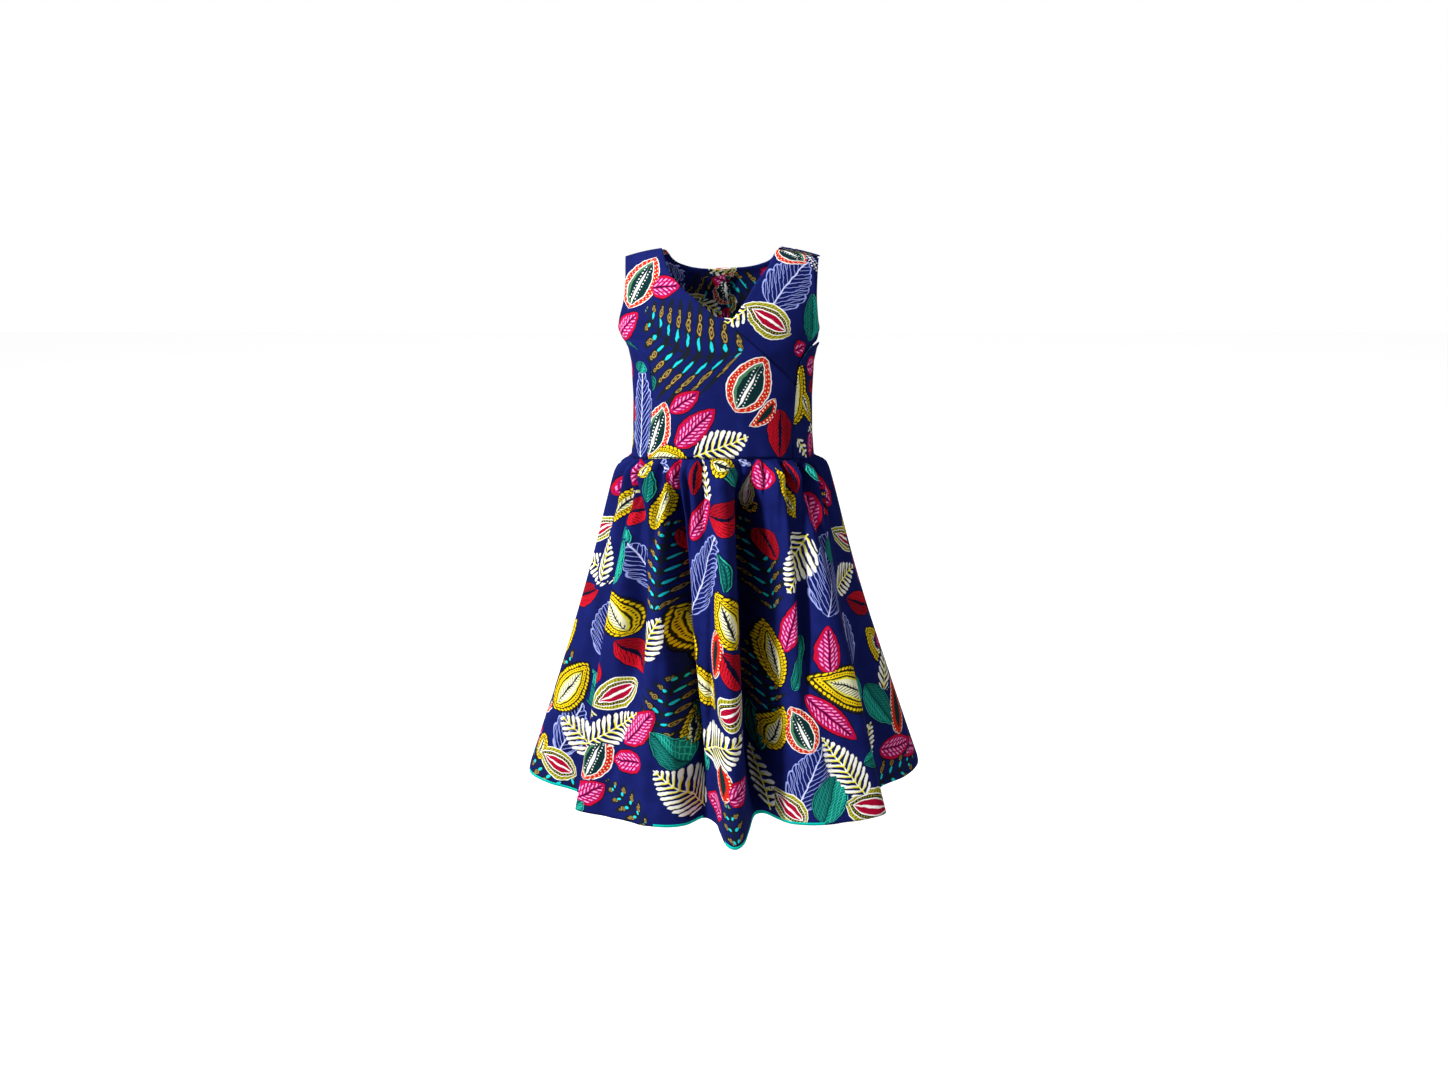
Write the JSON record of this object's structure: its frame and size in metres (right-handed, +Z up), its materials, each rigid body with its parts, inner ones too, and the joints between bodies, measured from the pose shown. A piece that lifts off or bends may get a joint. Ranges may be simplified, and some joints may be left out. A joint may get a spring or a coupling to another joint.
{
  "type": "child's sleeveless wax print dress",
  "caption": "Sleeveless knee-length dress with a crossover V neck, fitted bodice with side panels and a full gathered skirt, hanging as worn.",
  "frame": {"origin": "between the shoulders, at the height of the neck end of the shoulder line, where the wearer's shoulders hold the dress", "axes": "+Z up, -Y towards the front of the dress, +X towards the wearer's left"},
  "size_m": [0.4942, 0.3551, 0.65],
  "materials": {
    "wax_print": "matt cotton with a faint wax sheen, royal navy with a many-coloured leaf and pod print"
  },
  "bodies": {
    "root": {"bodice_front_right": "wax_print", "bodice_front_left": "wax_print", "bodice_side_right": "wax_print", "bodice_side_left": "wax_print", "bodice_back_right": "wax_print", "bodice_back_left": "wax_print", "skirt_front": "wax_print", "skirt_back": "wax_print"}
  },
  "joints": []
}
